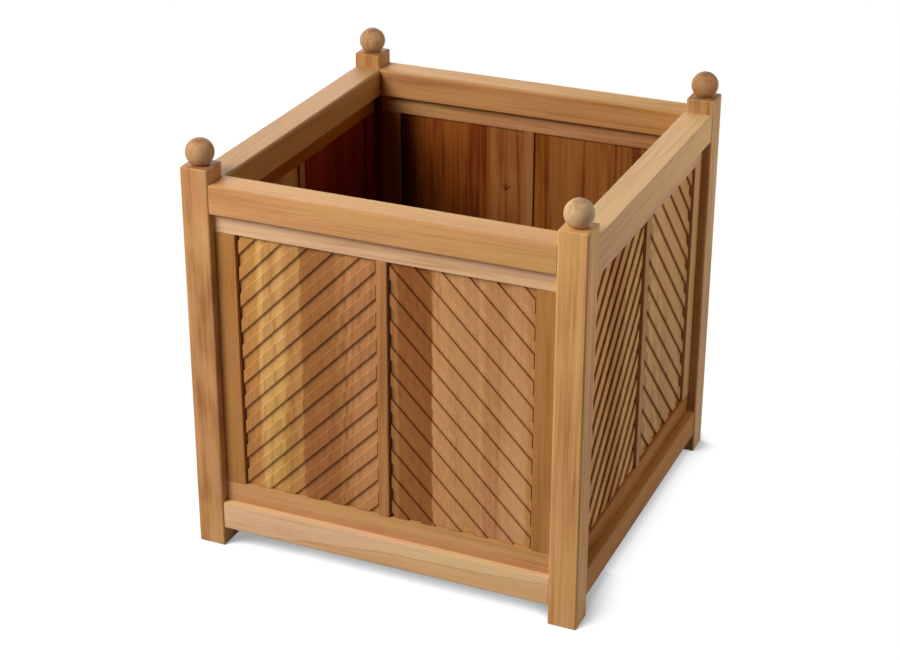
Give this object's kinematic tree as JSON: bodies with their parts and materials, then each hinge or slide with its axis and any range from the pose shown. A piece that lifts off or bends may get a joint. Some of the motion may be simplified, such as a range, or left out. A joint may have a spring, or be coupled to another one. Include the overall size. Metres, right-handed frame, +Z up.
{
  "type": "versailles planter",
  "caption": "Square teak garden planter box with ball-topped corner posts, top and bottom rails and framed raised panels whose channels make a chevron on every side.",
  "frame": {"origin": "on the ground at the middle of the planter's square footprint", "axes": "+Z up, the front faces -Y, +X to the right seen from the front"},
  "size_m": [0.6, 0.6, 0.6384],
  "materials": {
    "teak_post": "sanded teak, unfinished, long grain upright",
    "teak_finial": "turned and sanded teak",
    "teak_rail": "sanded teak, unfinished, long grain along the rail",
    "teak_frame": "sanded teak, unfinished",
    "teak_panel": "sanded teak boards of mixed tone, upright grain, diagonal channels between flat strips",
    "teak_floor": "sawn and planed teak",
    "steel": "stainless steel countersunk screws"
  },
  "bodies": {
    "root": {"post_front_left": "teak_post", "post_front_right": "teak_post", "post_back_right": "teak_post", "post_back_left": "teak_post", "finial_front_left": "teak_finial", "finial_front_right": "teak_finial", "finial_back_right": "teak_finial", "finial_back_left": "teak_finial", "rail_bottom_front": "teak_rail", "rail_bottom_right": "teak_rail", "rail_bottom_back": "teak_rail", "rail_bottom_left": "teak_rail", "rail_top_front": "teak_rail", "rail_top_right": "teak_rail", "rail_top_back": "teak_rail", "rail_top_left": "teak_rail", "frame_head_front": "teak_frame", "frame_head_right": "teak_frame", "frame_head_back": "teak_frame", "frame_head_left": "teak_frame", "frame_sill_front": "teak_frame", "frame_sill_right": "teak_frame", "frame_sill_back": "teak_frame", "frame_sill_left": "teak_frame", "stile_front_left": "teak_frame", "stile_front_right": "teak_frame", "stile_right_front": "teak_frame", "stile_right_back": "teak_frame", "stile_back_right": "teak_frame", "stile_back_left": "teak_frame", "stile_left_back": "teak_frame", "stile_left_front": "teak_frame", "muntin_front": "teak_frame", "muntin_right": "teak_frame", "muntin_back": "teak_frame", "muntin_left": "teak_frame", "panel_front_left": "teak_panel", "panel_front_right": "teak_panel", "panel_right_front": "teak_panel", "panel_right_back": "teak_panel", "panel_back_right": "teak_panel", "panel_back_left": "teak_panel", "panel_left_back": "teak_panel", "panel_left_front": "teak_panel", "ledger_front": "teak_floor", "ledger_back": "teak_floor", "floor_slat_1": "teak_floor", "floor_slat_2": "teak_floor", "floor_slat_3": "teak_floor", "floor_slat_4": "teak_floor", "floor_slat_5": "teak_floor", "floor_slat_6": "teak_floor", "ledger_screws": "steel", "slat_screws": "steel"}
  },
  "joints": []
}
